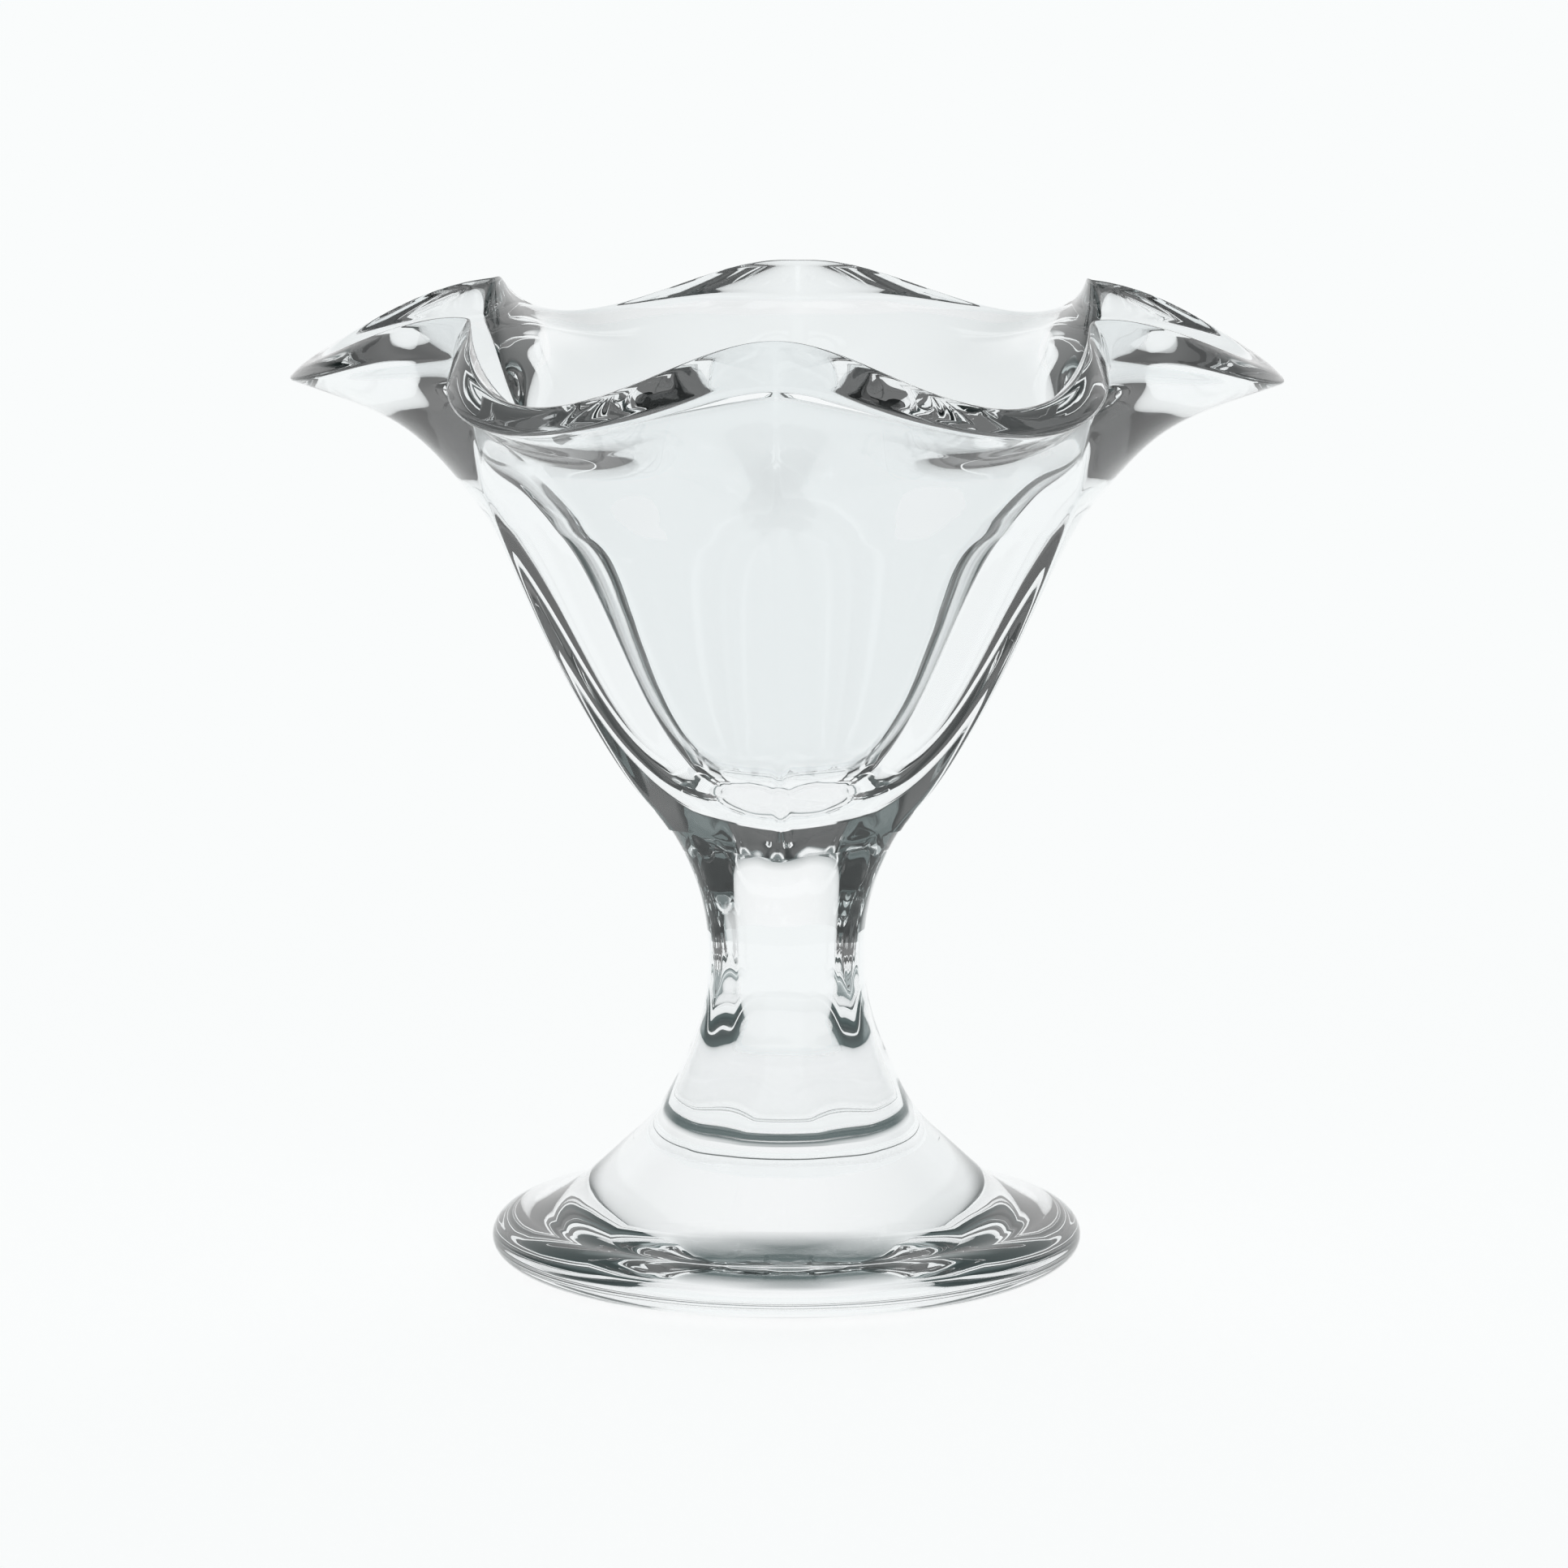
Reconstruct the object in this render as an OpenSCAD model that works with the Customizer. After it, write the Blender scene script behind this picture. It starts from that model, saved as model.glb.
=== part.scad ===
// Footed dessert glass of clear pressed glass: a six-panelled bowl with a petal
// rim, on a waisted six-flat stem and a round foot. The three gathers are fused
// together face to face. Millimetres, +Z up, origin on the table under the axis.

/* [Foot] */
// Diameter of the foot across its rounded edge
foot_d = 75.2; // [68:0.1:84]
// Thickness of the foot's rounded edge
edge_t = 7.6; // [5:0.1:9]
// How far in from the widest point the edge starts to round over on top
edge_w = 6; // [3.5:0.1:7]
// Diameter of the hollow under the foot
hollow_d = 57; // [44:0.1:59]
// Depth of the hollow under the foot
hollow_depth = 3; // [1.5:0.1:4.5]
// Height of the foot, up to its weld with the stem
foot_h = 16; // [13:0.1:19]
// Diameter of the weld between foot and stem
foot_weld_d = 39.2; // [36:0.1:44]

/* [Stem] */
// Height of the stem between its two welds
stem_h = 41; // [36:0.1:48]
// Distance across the stem's flats at the waist
waist_flats = 19.6; // [17:0.1:22]
// Height of the waist above the lower weld
waist_up = 22.5; // [20:0.1:26]
// Radius of the hollow curve that each flat follows from top to bottom
flat_curve_r = 33; // [28:0.1:44]
// Height of the flats' round lower ends above the lower weld
flat_end_up = 5; // [4:0.1:7]
// Width of the flats at their round lower ends
flat_end_w = 14; // [13:0.1:16]
// Diameter of the round shaft that the flats are pressed into
shaft_d = 26.4; // [25.6:0.1:29]

/* [Bowl] */
// Number of panels round the bowl, which is also the number of petals and flats
panels = 6; // [5:1:8]
// Height of the bowl above its weld with the stem
bowl_h = 66.4; // [60:0.1:74]
// Height of the shoulder above the weld, where the panels start
shoulder_up = 5; // [3:0.1:7]
// Distance across the panels where the petals start to flare
flare_flats = 75.8; // [68:0.1:84]
// Height of that flare above the weld
flare_up = 40.2; // [35:0.1:44]
// Thickness of the glass under the bowl's hollow, down to the weld
floor_t = 7.8; // [6:0.1:10]
// Wall thickness at the flare
wall_t = 4.8; // [3.5:0.1:6]

/* [Rim] */
// Diameter of the rim across opposite petal tips
tip_d = 125; // [114:0.1:136]
// Diameter of the rim's crest line at the high points between the petals
crest_d = 95; // [88:0.1:102]
// How far the petal tips hang below the high points
tip_drop = 7.7; // [4:0.1:10]
// Lip thickness at the petal tips
tip_lip_t = 4.4; // [3:0.1:5.5]
// Lip thickness at the high points
crest_lip_t = 6; // [4:0.1:7]

/* [Hidden] */
$fn = 96;
glass_colour = [0.84, 0.91, 0.92];
overrun = 1;

// Leans are degrees out from upright, on the outline seen from the side
foot_edge_lean = -76;
foot_weld_lean = -49;
panel_lean = 33.4;
flare_lean = 39;
ridge_lean = 37;
ridge_top_lean = 24;
tip_lean = 68;
crest_lean = 40;
hollow_lean = 33;

// How far each curve's handles reach, as shares of the curve's chord: start, end
foot_top_shares = [0.35, 0.35];
shaft_shares = [0.34, 0.5];
panel_shares = [0.51, 0.15];
flare_shares = [0.51, 0.5];
ridge_shares = [0.4, 0.3];
crest_shares = [0.35, 0.35];
hollow_end_share = 0.45;
hollow_floor_share = 0.6;

// How much of the sharp edge between two panels is left at the flare
ridge_share = 0.5;
// How much of the underside between the hollow and the widest point is the flat ring it rests on
rest_share = 0.34;
// Handles of the hollow under the foot, as shares of its radius and depth
under_shares = [[1, 0], [0.95, 0.8], [0.7, 1], [0, 1]];
// Broad petals with narrow notches in plan, and round high points in height
petal_power = 0.78;
dip_power = 1.2;

// Steps round one panel and along each stretch of an outline
panel_steps = 12;
neck_steps = 3;
side_steps = 11;
flare_steps = 11;
lip_steps = 6;
hollow_steps = 12;
curve_steps = 10;

half = 180 / panels;
corner = 1 / cos(half);
foot_r = foot_d / 2;
edge_top_r = foot_r - edge_w;
hollow_r = hollow_d / 2;
rest_r = hollow_r + (foot_r - hollow_r) * rest_share;
foot_weld_r = foot_weld_d / 2;
shaft_r = shaft_d / 2;
waist_r = waist_flats / 2;
waist_z = foot_h + waist_up;
flat_end_z = foot_h + flat_end_up;
weld_z = foot_h + stem_h;
shoulder_z = weld_z + shoulder_up;
flare_z = weld_z + flare_up;
floor_z = weld_z + floor_t;
rim_z = weld_z + bowl_h;

function lean_dir(lean) = [sin(lean), cos(lean)];
function inward(lean) = [-cos(lean), sin(lean)];
function mix(a, b, t) = a + (b - a) * t;
function smooth(t) = t * t * (3 - 2 * t);
function steps(count) = [for (i = [1 : count]) i / count];

function bezier(p, t) =
    pow(1 - t, 3) * p[0] + 3 * pow(1 - t, 2) * t * p[1]
    + 3 * (1 - t) * t * t * p[2] + t * t * t * p[3];

// A curve from a to b that leaves and arrives at the given leans
function curve(a, lean_a, b, lean_b, shares, t) =
    let (chord = norm(b - a))
    bezier([a, a + lean_dir(lean_a) * chord * shares[0],
            b - lean_dir(lean_b) * chord * shares[1], b], t);

// Distance from the axis to the middle of a stem flat at height z
function flat_r(z) = waist_r + flat_curve_r - sqrt(pow(flat_curve_r, 2) - pow(z - waist_z, 2));

// Outlines of the bowl are [radius, height], through the middle of a panel and through a ridge
shoulder_mid = [flat_r(shoulder_z), shoulder_z];
shoulder_ridge = [flat_r(shoulder_z) * corner, shoulder_z];
flare_mid = [flare_flats / 2, flare_z];
flare_ridge = [flare_flats / 2 * mix(1, corner, ridge_share), flare_z];
tip_lip_r = tip_lip_t / 2;
crest_lip_r = crest_lip_t / 2;
tip_mid = [tip_d / 2 - tip_lip_r, rim_z - tip_drop - tip_lip_r];
crest_mid = [crest_d / 2, rim_z - crest_lip_r];
flare_in = flare_mid + inward(flare_lean) * wall_t;

function panel_mid(t) = curve(shoulder_mid, panel_lean, flare_mid, flare_lean, panel_shares, t);
function panel_ridge(t) = curve(shoulder_ridge, ridge_lean, flare_ridge, ridge_top_lean, ridge_shares, t);

// Rim curves on the outside (side -1) and on the inside (side 1) of the lip
function tip_end(side) = tip_mid + inward(tip_lean) * tip_lip_r * side;
function crest_end(side) = crest_mid + inward(crest_lean) * crest_lip_r * side;
function petal_out(t) = curve(flare_mid, flare_lean, tip_end(-1), tip_lean, flare_shares, t);
function crest_out(t) = curve(flare_ridge, ridge_top_lean, crest_end(-1), crest_lean, crest_shares, t);
function petal_in(t) = curve(flare_in, hollow_lean, tip_end(1), tip_lean, flare_shares, t);
function crest_in(t) = curve(flare_in, hollow_lean, crest_end(1), crest_lean, crest_shares, t);

// Round the lip, from its underside at turn -90 to its top at turn 90
function lip_point(centre, lean, r, turn) =
    centre + (lean_dir(lean) * cos(turn) + inward(lean) * sin(turn)) * r;

function hollow_point(t) =
    bezier([[0, floor_z], [flare_in[0] * hollow_floor_share, floor_z],
            flare_in - lean_dir(hollow_lean) * norm(flare_in - [0, floor_z]) * hollow_end_share,
            flare_in], t);

// Each ring holds its point mid-panel, its point on a ridge, and how far it is petal and not panel
bowl_rings = concat(
    [for (t = concat([0], steps(neck_steps)))
        let (z = mix(weld_z, shoulder_z, t))
        [[flat_r(z), z], [flat_r(z) * corner, z], 0]],
    [for (t = steps(side_steps)) [panel_mid(t), panel_ridge(t), 0]],
    [for (t = steps(flare_steps)) [petal_out(t), crest_out(t), smooth(t)]],
    [for (t = steps(lip_steps))
        let (turn = 180 * t - 90)
        [lip_point(tip_mid, tip_lean, tip_lip_r, turn),
         lip_point(crest_mid, crest_lean, crest_lip_r, turn), 1]],
    [for (t = steps(flare_steps)) [petal_in(1 - t), crest_in(1 - t), 1]],
    [for (i = [hollow_steps - 1 : -1 : 1])
        let (p = hollow_point(i / hollow_steps))
        [p, p, 1]]);

// A ring's point at an angle round the axis; petals stand at 0 and every full panel from there
function ring_point(ring, angle) =
    let (off = (angle + half) % (2 * half) - half,
         panel = (corner - 1 / cos(off)) / (corner - 1),
         petal = (1 + cos(panels * angle)) / 2,
         r = mix(ring[1][0], ring[0][0], mix(panel, pow(petal, petal_power), ring[2])),
         z = mix(ring[1][1], ring[0][1], mix(panel, pow(petal, dip_power), ring[2])))
    [r * cos(angle), r * sin(angle), z];

module bowl() {
    around = panels * panel_steps;
    last = len(bowl_rings) - 1;
    under = (last + 1) * around;
    over = under + 1;
    points = concat(
        [for (ring = bowl_rings) for (j = [0 : around - 1]) ring_point(ring, 360 * j / around)],
        [[0, 0, weld_z], [0, 0, floor_z]]);
    sides = [for (i = [0 : last - 1]) for (j = [0 : around - 1])
        let (k = (j + 1) % around)
        each [[i * around + j, (i + 1) * around + j, (i + 1) * around + k],
              [i * around + j, (i + 1) * around + k, i * around + k]]];
    weld_face = [for (j = [0 : around - 1]) [under, j, (j + 1) % around]];
    floor_face = [for (j = [0 : around - 1]) [last * around + j, over, last * around + (j + 1) % around]];
    color(glass_colour) polyhedron(points, concat(sides, weld_face, floor_face));
}

// The stem's round blank stands clear of the flats' corners at its top
blank_top_r = flat_r(weld_z) * corner + overrun;

// One flat of the stem: a long hollow curve with a round lower end
module stem_flat() {
    reach = blank_top_r + overrun;
    end_r = flat_end_w / 2;
    intersection() {
        translate([waist_r + flat_curve_r, 0, waist_z])
            rotate([90, 0, 0])
                cylinder(h = 2 * reach, r = flat_curve_r, center = true);
        rotate([90, 0, 90])
            linear_extrude(height = reach) {
                translate([0, flat_end_z + end_r]) circle(r = end_r);
                polygon([[-end_r, flat_end_z + end_r], [end_r, flat_end_z + end_r],
                         [reach, weld_z + overrun], [-reach, weld_z + overrun]]);
            }
    }
}

module stem() {
    lower = [for (t = concat([0], steps(curve_steps)))
        curve([foot_weld_r, foot_h], foot_weld_lean, [shaft_r, waist_z], 0, shaft_shares, t)];
    color(glass_colour)
        difference() {
            rotate_extrude()
                polygon(concat([[0, foot_h]], lower, [[blank_top_r, weld_z], [0, weld_z]]));
            for (i = [0 : panels - 1]) rotate(i * 2 * half) stem_flat();
        }
}

module foot() {
    edge = [for (turn = [-90 : 180 / curve_steps : 90])
        let (start_r = turn < 0 ? rest_r : edge_top_r)
        [mix(start_r, foot_r, cos(turn)), edge_t * (1 + sin(turn)) / 2]];
    top = [for (t = steps(curve_steps))
        curve([edge_top_r, edge_t], foot_edge_lean, [foot_weld_r, foot_h], foot_weld_lean,
              foot_top_shares, t)];
    handles = [for (s = under_shares) [s[0] * hollow_r, s[1] * hollow_depth]];
    under = [for (t = steps(curve_steps)) bezier(handles, 1 - t)];
    color(glass_colour)
        rotate_extrude()
            polygon(concat(edge, top, [[0, foot_h], [0, hollow_depth]], under));
}

bowl();
stem();
foot();
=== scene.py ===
import math
import bmesh
import bpy
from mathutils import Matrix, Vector


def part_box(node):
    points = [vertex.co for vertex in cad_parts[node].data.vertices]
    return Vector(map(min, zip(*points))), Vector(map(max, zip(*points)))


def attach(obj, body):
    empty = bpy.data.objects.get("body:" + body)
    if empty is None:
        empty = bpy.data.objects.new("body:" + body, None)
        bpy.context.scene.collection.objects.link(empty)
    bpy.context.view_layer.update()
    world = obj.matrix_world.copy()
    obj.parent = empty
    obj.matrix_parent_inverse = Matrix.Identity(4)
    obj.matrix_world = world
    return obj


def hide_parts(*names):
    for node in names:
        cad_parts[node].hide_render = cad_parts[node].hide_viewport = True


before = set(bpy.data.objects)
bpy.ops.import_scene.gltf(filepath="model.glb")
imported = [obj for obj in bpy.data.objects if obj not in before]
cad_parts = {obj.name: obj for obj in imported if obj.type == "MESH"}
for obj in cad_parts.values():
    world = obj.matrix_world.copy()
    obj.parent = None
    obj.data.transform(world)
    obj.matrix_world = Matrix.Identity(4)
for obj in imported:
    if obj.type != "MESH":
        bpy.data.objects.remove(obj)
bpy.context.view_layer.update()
print("frame loaded:", sorted(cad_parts))

# The glass stands on the table at z = 0. A petal points along +X, and there is one every 60 degrees.
panels = 6
halfPanel = math.pi / panels
cornerOut = 1 / math.cos(halfPanel)  # how much further out a ridge stands than the middle of a panel
columnsPerPanel = 60
crowdShare = 0.7  # how strongly the columns of the mesh crowd towards the ridges
sameSpot = 1e-6
creaseAngle = math.radians(30)
roundReach = 0.464  # how far the soft edge of a six-sided section reaches, per unit of its rounding
levelNormal = 0.999  # a face is level when its normal points up or down at least this much
colourA, colourB, colourResult = 6, 7, 2  # the Mix node's sockets for colours

bowlLow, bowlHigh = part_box("bowl")
stemLow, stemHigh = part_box("stem")
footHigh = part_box("foot")[1]
upperWeldZ = bowlLow.z
lowerWeldZ = stemLow.z
lowerWeldR = stemHigh.x


# Curves are drawn in the plane of the outline: across from the axis, and up.
# Leans are degrees out from upright.
def leanDir(lean):
    turn = math.radians(lean)
    return Vector((math.sin(turn), math.cos(turn)))


def inward(lean):
    turn = math.radians(lean)
    return Vector((-math.cos(turn), math.sin(turn)))


def mix(a, b, t):
    return a + (b - a) * t


def smooth(t):
    return t * t * (3 - 2 * t)


def bezier(a, b, c, d, t):
    s = 1 - t
    return a * s ** 3 + b * 3 * s * s * t + c * 3 * s * t * t + d * t ** 3


def curve(a, leanA, b, leanB, shares, t):
    chord = (b - a).length
    handleA = a + leanDir(leanA) * chord * shares[0]
    handleB = b - leanDir(leanB) * chord * shares[1]
    return bezier(a, handleA, handleB, b, t)


def softCorner(before, corner, after, t):
    return bezier(before, mix(before, corner, 2 / 3), mix(after, corner, 2 / 3), after, t)


def steps(count, power=1.0):
    return [(i / count) ** power for i in range(1, count + 1)]


def softMax(a, b, reach):
    near = max(0.0, 1 - abs(a - b) / reach)
    return max(a, b) + reach * near * near / 4


def softMin(a, b, reach):
    return -softMax(-a, -b, reach)


# How far the edge of a rounded six-sided section stands out at an angle,
# as a multiple of its flats' distance
def sixSide(angle, flatR, roundR):
    off = (angle + halfPanel) % (2 * halfPanel) - halfPanel
    reach = roundReach * roundR / flatR
    return 1 / softMax(math.cos(off), math.cos(2 * halfPanel - abs(off)), reach)


# Columns of the mesh round the axis, the same on all pieces, so that the welds match edge to edge
def columnAngles():
    angles = []
    for panel in range(panels):
        for i in range(columnsPerPanel):
            u = 2 * i / columnsPerPanel - 1
            off = halfPanel * mix(u, math.sin(u * math.pi / 2), crowdShare)
            angles.append(panel * 2 * halfPanel + off)
    return angles


def onAxis(angle, r, z):
    return Vector((r * math.cos(angle), r * math.sin(angle), z))


# A filled circle is the first weld face. Its rim is then pulled on, ring by ring.
def startPiece(name, ring, place):
    angles = columnAngles()
    bpy.ops.object.select_all(action="DESELECT")
    bpy.ops.mesh.primitive_circle_add(vertices=len(angles), radius=1, fill_type="TRIFAN")
    piece = bpy.context.object
    piece.name = name
    piece.data.name = name
    bpy.ops.object.mode_set(mode="EDIT")
    bpy.ops.mesh.select_mode(type="EDGE")
    shape = bmesh.from_edit_mesh(piece.data)
    middle = [v for v in shape.verts if v.co.length < sameSpot]
    rim = [v for v in shape.verts if v.co.length > sameSpot]
    rim.sort(key=lambda v: math.atan2(v.co.y, v.co.x))
    spots = sorted(math.atan2(math.sin(a), math.cos(a)) for a in angles)
    for v, angle in zip(rim, spots):
        v.co = place(ring, angle)
    middle[0].co = Vector((0, 0, rim[0].co.z))
    for edge in shape.edges:
        edge.select_set(False)
    for edge in shape.edges:
        if edge.is_boundary:
            edge.select_set(True)
    bmesh.update_edit_mesh(piece.data)
    return piece


def pullRing(piece, ring, place):
    bpy.ops.mesh.extrude_region_move()
    shape = bmesh.from_edit_mesh(piece.data)
    for v in shape.verts:
        if v.select:
            v.co = place(ring, math.atan2(v.co.y, v.co.x))
    bmesh.update_edit_mesh(piece.data, loop_triangles=False, destructive=False)


def closePiece(piece, axisZ):
    bpy.ops.mesh.extrude_region_move()
    shape = bmesh.from_edit_mesh(piece.data)
    for v in shape.verts:
        if v.select:
            v.co = Vector((0, 0, axisZ))
    bmesh.update_edit_mesh(piece.data)
    bpy.ops.mesh.merge(type="CENTER")
    bpy.ops.mesh.select_all(action="SELECT")
    bpy.ops.mesh.remove_doubles(threshold=sameSpot)
    bpy.ops.mesh.normals_make_consistent(inside=False)
    bpy.ops.object.mode_set(mode="OBJECT")
    bpy.ops.object.shade_smooth_by_angle(angle=creaseAngle)


def pullPiece(name, rings, place, axisZ):
    piece = startPiece(name, rings[0], place)
    for ring in rings[1:]:
        pullRing(piece, ring, place)
    closePiece(piece, axisZ)
    print(name, "pulled up:", len(rings), "rings,", len(piece.data.polygons), "faces")
    return piece


# The first slot is the glass. Faces in a weld get the second slot,
# because fused glass has no surface there.
def dressPiece(piece, glass, weld, weldHeights):
    piece.data.materials.append(glass)
    piece.data.materials.append(weld)
    for face in piece.data.polygons:
        flat = abs(face.normal.z) > levelNormal
        atWeld = any(abs(face.center.z - z) < sameSpot for z in weldHeights)
        face.material_index = 1 if flat and atWeld else 0


stemShape = {
    "waistR": 0.0098,  # from the axis to a flat
    "waistUp": 0.0237,  # above the lower weld
    "flatCurveR": 0.033,
    "shaftR": 0.0132,
    "blankTopR": 0.01886,  # the round blank stands clear of the flats up there
    "weldLean": -49,
    "shaftShares": (0.34, 0.5),
    "ridgeRoundR": 0.0062,
    "endRound": 0.0007,  # how softly the flats run out into the round shaft
    "rows": 72,
    "halvings": 40,  # to find the shaft's radius at a height
}
waistZ = lowerWeldZ + stemShape["waistUp"]


def flatR(z):
    bend = stemShape["flatCurveR"]
    return stemShape["waistR"] + bend - math.sqrt(bend ** 2 - (z - waistZ) ** 2)


def shaftR(z):
    if z > waistZ:
        up = (z - waistZ) / (upperWeldZ - waistZ)
        return mix(stemShape["shaftR"], stemShape["blankTopR"], up)
    low, high = 0.0, 1.0
    foot = Vector((lowerWeldR, lowerWeldZ))
    waist = Vector((stemShape["shaftR"], waistZ))
    for _ in range(stemShape["halvings"]):
        t = (low + high) / 2
        spot = curve(foot, stemShape["weldLean"], waist, 0, stemShape["shaftShares"], t)
        if spot.y < z:
            low = t
        else:
            high = t
    return spot.x


def stemSpot(z, angle):
    flats = flatR(z) * sixSide(angle, flatR(z), stemShape["ridgeRoundR"])
    return onAxis(angle, softMin(shaftR(z), flats, stemShape["endRound"]), z)


def stemRows():
    rows = []
    for i in range(stemShape["rows"] + 1):
        u = 2 * i / stemShape["rows"] - 1
        up = (1 + mix(u, math.sin(u * math.pi / 2), crowdShare)) / 2
        rows.append(mix(lowerWeldZ, upperWeldZ, up))
    return rows


bowlShape = {
    "shoulderUp": 0.005,  # above the weld
    "shoulderSoft": 0.0022,  # how far the soft corner reaches down from the shoulder
    "shoulderUpShare": 1.4,  # how far it reaches up the panel, as a multiple of that
    "flareFlats": 0.0758,
    "flareUp": 0.0402,
    "floorThick": 0.0045,
    "wallThick": 0.0048,
    "tipDrop": 0.0072,
    "tipBevel": (0.0045, -0.003),  # out and up from the inner edge of the lip to its outer edge
    "crestR": 0.0444,
    "crestBevel": (0.0024, -0.0057),
    "bevelSwell": 0.0003,
    "edgeSoft": 0.0008,  # how far the soft corners reach along the lip
    "edgeTrim": 0.4,  # how much of that the soft corners take off the lip's reach
    "panelLean": 33.4,
    "flareLean": 39,
    "ridgeLean": 37,
    "ridgeTopLean": 24,
    "tipLean": 71,
    "crestLean": 30,
    "hollowLean": 33,
    "tipInLean": 65,
    "crestInLean": -8,
    "panelShares": (0.51, 0.15),
    "flareShares": (0.51, 0.5),
    "ridgeShares": (0.4, 0.3),
    "crestShares": (0.35, 0.35),
    "hollowEndShare": 0.45,
    "hollowFloorShare": 0.58,
    "ridgeShare": 0.5,  # how much of the sharp edge between panels is left at the flare
    "ridgeRoundR": 0.0021,
    "outerPower": 0.72,  # how full the petals are outside, in plan, and inside
    "innerPower": 0.78,
    "dipPower": 1.2,
    "neckRows": 12, "cornerRows": 8, "panelRows": 36, "flareRows": 40,
    "edgeRows": 8, "bevelRows": 8, "hollowRows": 40,
    "neckCrowd": 1.6,  # above 1, the rows crowd towards the weld
}


# Each ring holds its point in the middle of a panel, its point on a ridge,
# how far it is petal and not panel, and how far it is on the inside
def bowlRings():
    b = bowlShape
    soft = b["edgeSoft"]
    trim = soft * b["edgeTrim"]
    shoulderZ = upperWeldZ + b["shoulderUp"]
    flareZ = upperWeldZ + b["flareUp"]
    rimZ = bowlHigh.z
    floorZ = upperWeldZ + b["floorThick"]
    shoulderMid = Vector((flatR(shoulderZ), shoulderZ))
    shoulderRidge = Vector((flatR(shoulderZ) * cornerOut, shoulderZ))
    flareMid = Vector((b["flareFlats"] / 2, flareZ))
    flareRidge = Vector((b["flareFlats"] / 2 * mix(1, cornerOut, b["ridgeShare"]), flareZ))
    flareIn = flareMid + inward(b["flareLean"]) * b["wallThick"]
    tipOut = Vector((bowlHigh.x + trim, rimZ - b["tipDrop"] + b["tipBevel"][1]))
    tipIn = tipOut - Vector(b["tipBevel"])
    crestIn = Vector((b["crestR"], rimZ + trim))
    crestOut = crestIn + Vector(b["crestBevel"])

    def neck(z):
        return Vector((flatR(z), z)), Vector((flatR(z) * cornerOut, z))

    def panel(t):
        return (curve(shoulderMid, b["panelLean"], flareMid, b["flareLean"], b["panelShares"], t),
                curve(shoulderRidge, b["ridgeLean"], flareRidge, b["ridgeTopLean"], b["ridgeShares"], t))

    def flareOut(t):
        tip = tipOut - leanDir(b["tipLean"]) * soft
        crest = crestOut - leanDir(b["crestLean"]) * soft
        return (curve(flareMid, b["flareLean"], tip, b["tipLean"], b["flareShares"], t),
                curve(flareRidge, b["ridgeTopLean"], crest, b["crestLean"], b["crestShares"], t))

    def flareInside(t):
        tip = tipIn - leanDir(b["tipInLean"]) * soft
        crest = crestIn - leanDir(b["crestInLean"]) * soft
        return (curve(flareIn, b["hollowLean"], tip, b["tipInLean"], b["flareShares"], t),
                curve(flareIn, b["hollowLean"], crest, b["crestInLean"], b["crestShares"], t))

    def lip(outer, inner, t):  # the slanting top of the lip, with a slight swell
        along = (inner - outer).normalized()
        swell = Vector((-along.y, along.x)) * -b["bevelSwell"] * 4 * t * (1 - t)
        return mix(outer + along * soft, inner - along * soft, t) + swell

    def hollow(t):
        floorMid = Vector((0, floorZ))
        chord = (flareIn - floorMid).length
        floorHandle = Vector((flareIn.x * b["hollowFloorShare"], floorZ))
        wallHandle = flareIn - leanDir(b["hollowLean"]) * chord * b["hollowEndShare"]
        return bezier(floorMid, floorHandle, wallHandle, flareIn, t)

    rings = [(*neck(upperWeldZ), 0, 0)]
    cornerLow = shoulderZ - b["shoulderSoft"]
    for t in steps(b["neckRows"], b["neckCrowd"]):
        rings.append((*neck(mix(upperWeldZ, cornerLow, t)), 0, 0))
    cornerT = b["shoulderUpShare"] * b["shoulderSoft"] / (flareMid - shoulderMid).length
    for t in steps(b["cornerRows"]):  # a soft corner through the shoulder
        below, above = neck(cornerLow), panel(cornerT)
        pair = [softCorner(lo, mid, hi, t)
                for lo, mid, hi in zip(below, (shoulderMid, shoulderRidge), above)]
        rings.append((*pair, 0, 0))
    for t in steps(b["panelRows"]):
        rings.append((*panel(mix(cornerT, 1, t)), 0, 0))
    for t in steps(b["flareRows"]):
        rings.append((*flareOut(t), smooth(t), 0))
    for t in steps(b["edgeRows"]):
        pair = [softCorner(lo, mid, lip(mid, end, 0), t)
                for lo, mid, end in zip(flareOut(1), (tipOut, crestOut), (tipIn, crestIn))]
        rings.append((*pair, 1, 0))
    for t in steps(b["bevelRows"]):
        rings.append((lip(tipOut, tipIn, t), lip(crestOut, crestIn, t), 1, t))
    for t in steps(b["edgeRows"]):
        pair = [softCorner(lip(start, mid, 1), mid, hi, t)
                for start, mid, hi in zip((tipOut, crestOut), (tipIn, crestIn), flareInside(1))]
        rings.append((*pair, 1, 1))
    for t in steps(b["flareRows"]):
        rings.append((*flareInside(1 - t), 1, 1))
    for t in steps(b["hollowRows"])[:-1]:
        rings.append((hollow(1 - t), hollow(1 - t), 1, 1))
    return rings, floorZ


def bowlSpot(ring, angle):
    mid, ridge, petalShare, innerShare = ring
    section = sixSide(angle, mid.x, bowlShape["ridgeRoundR"])
    panel = (cornerOut - section) / (cornerOut - 1)
    petal = max(0.0, (1 + math.cos(panels * angle)) / 2)
    power = mix(bowlShape["outerPower"], bowlShape["innerPower"], innerShare)
    across = mix(panel, petal ** power, petalShare)
    drop = mix(panel, petal ** bowlShape["dipPower"], petalShare)
    return onAxis(angle, mix(ridge.x, mid.x, across), mix(ridge.y, mid.y, drop))


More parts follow.
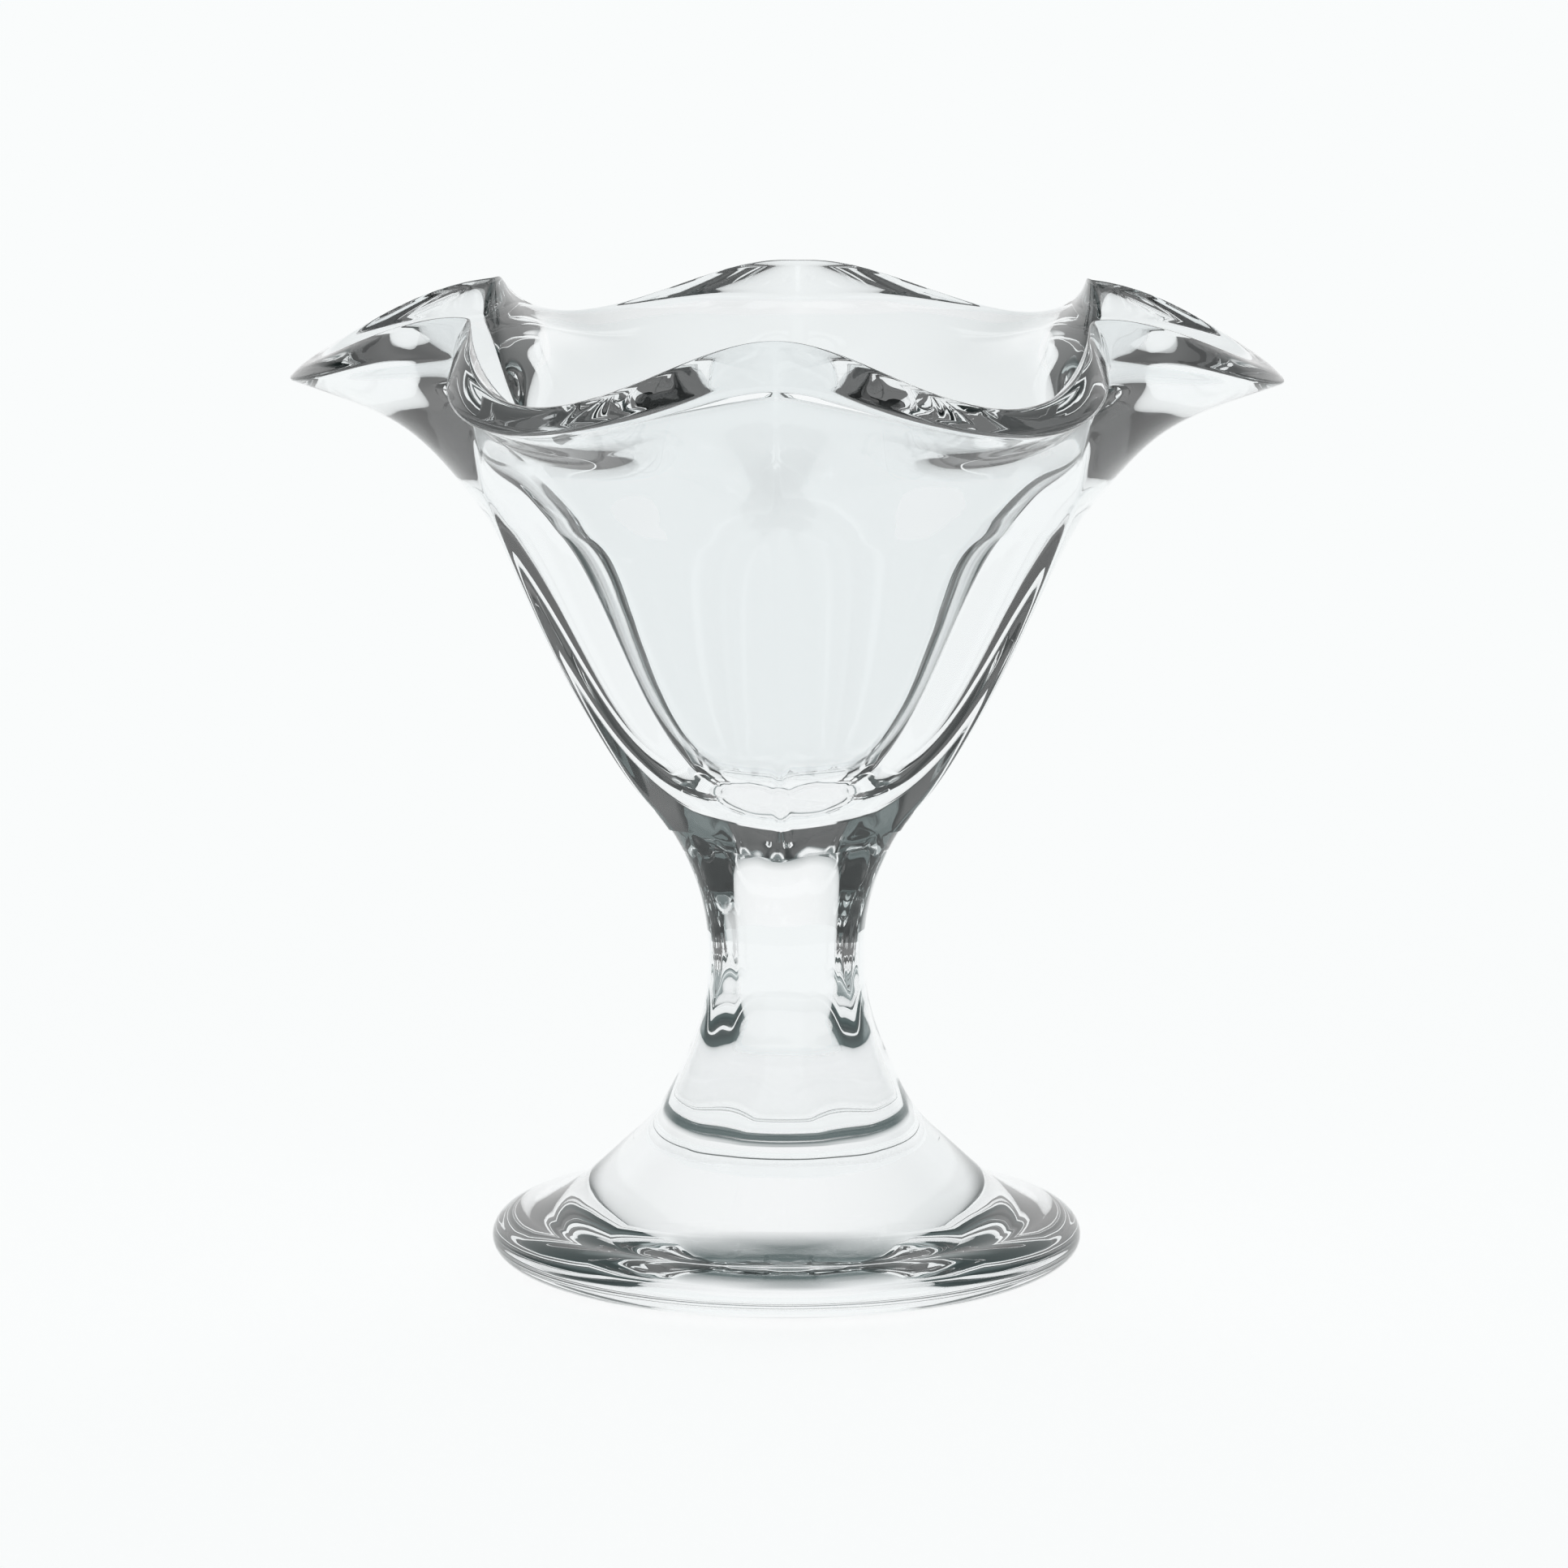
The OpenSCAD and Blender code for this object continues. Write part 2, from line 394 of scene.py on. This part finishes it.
footShape = {
    "edgeThick": 0.0066,
    "edgeWide": 0.0048,
    "hollowR": 0.0285,
    "hollowDeep": 0.001,
    "restShare": 0.34,
    "edgeLean": -76,
    "weldLean": -49,
    "topShares": (0.35, 0.35),
    "underShares": ((1, 0), (0.667, 0.667), (0.333, 1), (0, 1)),
    "topRows": 30, "edgeRows": 28, "hollowRows": 28,
    "topCrowd": 1.5,  # above 1, the rows crowd towards the weld
}


def footRings():
    f = footShape
    footR = footHigh.x
    topR = footR - f["edgeWide"]
    restR = mix(f["hollowR"], footR, f["restShare"])
    weld = Vector((lowerWeldR, lowerWeldZ))
    edgeTop = Vector((topR, f["edgeThick"]))
    rings = [weld]
    for t in steps(f["topRows"], f["topCrowd"]):
        rings.append(curve(edgeTop, f["edgeLean"], weld, f["weldLean"], f["topShares"], 1 - t))
    for t in steps(f["edgeRows"]):
        turn = math.pi * (0.5 - t)
        inner = topR if turn > 0 else restR
        up = f["edgeThick"] * (1 + math.sin(turn)) / 2
        rings.append(Vector((mix(inner, footR, math.cos(turn)), up)))
    handles = [Vector((s[0] * f["hollowR"], s[1] * f["hollowDeep"])) for s in f["underShares"]]
    for t in [0.0] + steps(f["hollowRows"])[:-1]:
        rings.append(bezier(*handles, t))
    return rings


def footSpot(ring, angle):
    return onAxis(angle, ring.x, ring.y)


def mathNode(tree, operation, a, b=0.0):
    node = tree.nodes.new("ShaderNodeMath")
    node.operation = operation
    for socket, value in zip(node.inputs, (a, b)):
        if isinstance(value, (int, float)):
            socket.default_value = value
        else:
            tree.links.new(value, socket)
    return node.outputs[0]


def colourMix(tree, factor, a, b):
    node = tree.nodes.new("ShaderNodeMix")
    node.data_type = "RGBA"
    sockets = (node.inputs["Factor"], node.inputs[colourA], node.inputs[colourB])
    for socket, value in zip(sockets, (factor, a, b)):
        if isinstance(value, (int, float, tuple)):
            socket.default_value = value
        else:
            tree.links.new(value, socket)
    return node.outputs[colourResult]


def rangeNode(tree, value, fromRange, toRange):
    node = tree.nodes.new("ShaderNodeMapRange")
    tree.links.new(value, node.inputs["Value"])
    names = ("From Min", "From Max", "To Min", "To Max")
    for name, number in zip(names, (*fromRange, *toRange)):
        node.inputs[name].default_value = number
    return node.outputs["Result"]


glassLook = {
    "tint": (0.945, 0.962, 0.967, 1),
    "ior": 1.52,
    "rippleScale": 90,
    "rippleDetail": 1.5,
    "rippleStrength": 0.5,
    "rippleDepth": 0.00008,
    "haze": 0.02,  # roughness where the haze is thickest
    "smearScale": 45,
    "smearDetail": 4,
    "smearRange": (0.5, 0.8),
    "trapDepth": (3, 4),  # mirrorings after which light counts as trapped
    "letOut": 0.1,  # share of the trapped light that is let out, because the renderer ends it in black
}


# Pressed glass is never quite flat: a slow ripple from the mould,
# and a trace of haze where hands and tables touch it
def makeRipple(look):
    group = bpy.data.node_groups.new("pressedRipple", "ShaderNodeTree")
    sockets = group.interface
    sockets.new_socket("Scale", in_out="INPUT", socket_type="NodeSocketFloat")
    sockets.new_socket("Haze", in_out="INPUT", socket_type="NodeSocketFloat")
    sockets.new_socket("Height", in_out="OUTPUT", socket_type="NodeSocketFloat")
    sockets.new_socket("Roughness", in_out="OUTPUT", socket_type="NodeSocketFloat")
    nodes, links = group.nodes, group.links
    given = nodes.new("NodeGroupInput")
    result = nodes.new("NodeGroupOutput")
    spot = nodes.new("ShaderNodeTexCoord")
    wave = nodes.new("ShaderNodeTexNoise")
    wave.inputs["Detail"].default_value = look["rippleDetail"]
    smear = nodes.new("ShaderNodeTexNoise")
    smear.inputs["Scale"].default_value = look["smearScale"]
    smear.inputs["Detail"].default_value = look["smearDetail"]
    ramp = nodes.new("ShaderNodeMapRange")
    ramp.inputs["From Min"].default_value = look["smearRange"][0]
    ramp.inputs["From Max"].default_value = look["smearRange"][1]
    links.new(spot.outputs["Object"], wave.inputs["Vector"])
    links.new(given.outputs["Scale"], wave.inputs["Scale"])
    links.new(spot.outputs["Object"], smear.inputs["Vector"])
    links.new(smear.outputs["Fac"], ramp.inputs["Value"])
    links.new(given.outputs["Haze"], ramp.inputs["To Max"])
    links.new(wave.outputs["Fac"], result.inputs["Height"])
    links.new(ramp.outputs["Result"], result.inputs["Roughness"])
    return group


def makeGlass(name, ripple, look):
    glass = bpy.data.materials.new(name)
    glass.use_nodes = True
    nodes, links = glass.node_tree.nodes, glass.node_tree.links
    shader = nodes["Principled BSDF"]
    shader.inputs["Base Color"].default_value = look["tint"]
    shader.inputs["IOR"].default_value = look["ior"]
    shader.inputs["Transmission Weight"].default_value = 1
    wave = nodes.new("ShaderNodeGroup")
    wave.node_tree = ripple
    wave.inputs["Scale"].default_value = look["rippleScale"]
    wave.inputs["Haze"].default_value = look["haze"]
    bump = nodes.new("ShaderNodeBump")
    bump.inputs["Strength"].default_value = look["rippleStrength"]
    bump.inputs["Distance"].default_value = look["rippleDepth"]
    links.new(wave.outputs["Height"], bump.inputs["Height"])
    links.new(bump.outputs["Normal"], shader.inputs["Normal"])
    links.new(wave.outputs["Roughness"], shader.inputs["Roughness"])
    mirrored = nodes.new("ShaderNodeLightPath").outputs["Glossy Depth"]
    alpha = rangeNode(glass.node_tree, mirrored, look["trapDepth"], (1, 1 - look["letOut"]))
    links.new(alpha, shader.inputs["Alpha"])
    return glass


def makeWeld():
    weld = bpy.data.materials.new("fusedWeld")
    weld.use_nodes = True
    weld.node_tree.nodes["Principled BSDF"].inputs["Alpha"].default_value = 0
    return weld


stem = pullPiece("stemPressed", stemRows(), stemSpot, upperWeldZ)
rings, bowlFloorZ = bowlRings()
bowl = pullPiece("bowlPressed", rings, bowlSpot, bowlFloorZ)
foot = pullPiece("footPressed", footRings(), footSpot, footShape["hollowDeep"])

ripple = makeRipple(glassLook)
weld = makeWeld()
welds = {"bowl": (upperWeldZ,), "stem": (lowerWeldZ, upperWeldZ), "foot": (lowerWeldZ,)}
for node, piece in (("bowl", bowl), ("stem", stem), ("foot", foot)):
    dressPiece(piece, makeGlass(node + "Glass", ripple, glassLook), weld, welds[node])
    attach(piece, "root")
    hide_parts(node)
print("glass dressed")

studio = {
    "floorR": 3.0,
    "airGap": 0.0001,  # between the foot and the table
    "floorSides": 96,
    "floorWhite": 0.6,
    "floorGlow": 0.82,  # makes up for the light that the dark sides keep from the table
    "floorRough": 0.9,
    # Brightness round the studio by degrees from straight behind, right is plus:
    # a white wall behind, dark sides and a grey front
    "cards": (
        (-180, 0.5), (-140, 0.5), (-120, 0.06), (-62, 0.06), (-42, 0.9), (0, 1.0),
        (42, 0.95), (62, 0.06), (120, 0.06), (140, 0.5), (180, 0.5),
    ),
    "cardTop": (25, 50),  # degrees up where the cards end and the ceiling starts
    "ceiling": 0.15,
    "coolDark": 0.65,  # how much red is left where it is dark
}


def coolGrey(level):
    return (level * mix(studio["coolDark"], 1, math.sqrt(level)), level, level, 1)


# The pale and dark cards that stand round the glass, by the direction from the glass
def makeCards():
    group = bpy.data.node_groups.new("studioCards", "ShaderNodeTree")
    group.interface.new_socket("Direction", in_out="INPUT", socket_type="NodeSocketVector")
    group.interface.new_socket("Light", in_out="OUTPUT", socket_type="NodeSocketColor")
    nodes, links = group.nodes, group.links
    given = nodes.new("NodeGroupInput")
    result = nodes.new("NodeGroupOutput")
    split = nodes.new("ShaderNodeSeparateXYZ")
    links.new(given.outputs["Direction"], split.inputs[0])
    around = mathNode(group, "ARCTAN2", split.outputs["X"], split.outputs["Y"])
    cards = nodes.new("ShaderNodeValToRGB")
    cards.color_ramp.interpolation = "EASE"
    stops = cards.color_ramp.elements
    while len(stops) < len(studio["cards"]):
        stops.new(1.0)
    for stop, (degrees, level) in zip(stops, studio["cards"]):
        stop.position = (degrees + 180) / 360
        stop.color = coolGrey(level)
    links.new(rangeNode(group, around, (-math.pi, math.pi), (0, 1)), cards.inputs["Fac"])
    heights = [math.sin(math.radians(degrees)) for degrees in studio["cardTop"]]
    rise = rangeNode(group, split.outputs["Z"], heights, (0, 1))
    room = colourMix(group, rise, cards.outputs["Color"], coolGrey(studio["ceiling"]))
    links.new(room, result.inputs["Light"])
    return group


# White paper, the same for the camera and for what the glass bends and mirrors
def makeFloor():
    bpy.ops.object.select_all(action="DESELECT")
    bpy.ops.mesh.primitive_circle_add(vertices=studio["floorSides"], radius=studio["floorR"],
                                      fill_type="NGON", location=(0, 0, -studio["airGap"]))
    floor = bpy.context.object
    floor.name = "studioFloor"
    paper = bpy.data.materials.new("whitePaper")
    paper.use_nodes = True
    tree = paper.node_tree
    shader = tree.nodes["Principled BSDF"]
    white = studio["floorWhite"]
    shader.inputs["Base Color"].default_value = (white, white, white, 1)
    shader.inputs["Emission Color"].default_value = (1, 1, 1, 1)
    shader.inputs["Roughness"].default_value = studio["floorRough"]
    shader.inputs["Specular IOR Level"].default_value = 0
    shader.inputs["Emission Strength"].default_value = studio["floorGlow"]
    floor.data.materials.append(paper)


def makeWorld(cards):
    world = bpy.data.worlds.new("studioWorld")
    bpy.context.scene.world = world
    world.use_nodes = True
    tree = world.node_tree
    spot = tree.nodes.new("ShaderNodeTexCoord")
    shade = tree.nodes.new("ShaderNodeGroup")
    shade.node_tree = cards
    tree.links.new(spot.outputs["Generated"], shade.inputs["Direction"])
    tree.links.new(shade.outputs["Light"], tree.nodes["Background"].inputs["Color"])


photoView = {
    "away": 0.9929,  # from the axis, level
    "height": 0.2371,
    "aimZ": 0.06149,
    "turn": 1.8,  # degrees round from the front
    "lens": 182.64,
    "sensor": 36,
    "shiftX": -0.0016,
}


def makeCamera():
    v = photoView
    turn = math.radians(v["turn"])
    stand = Vector((v["away"] * math.sin(turn), -v["away"] * math.cos(turn), v["height"]))
    bpy.ops.object.camera_add(location=stand)
    camera = bpy.context.object
    camera.name = "photoCamera"
    camera.data.lens = v["lens"]
    camera.data.sensor_width = v["sensor"]
    camera.data.shift_x = v["shiftX"]
    sight = Vector((0, 0, v["aimZ"])) - camera.location
    camera.rotation_euler = sight.to_track_quat("-Z", "Y").to_euler()
    bpy.context.scene.camera = camera


makeFloor()
makeWorld(makeCards())
makeCamera()
bpy.context.scene.view_settings.view_transform = "Standard"
print("studio set")
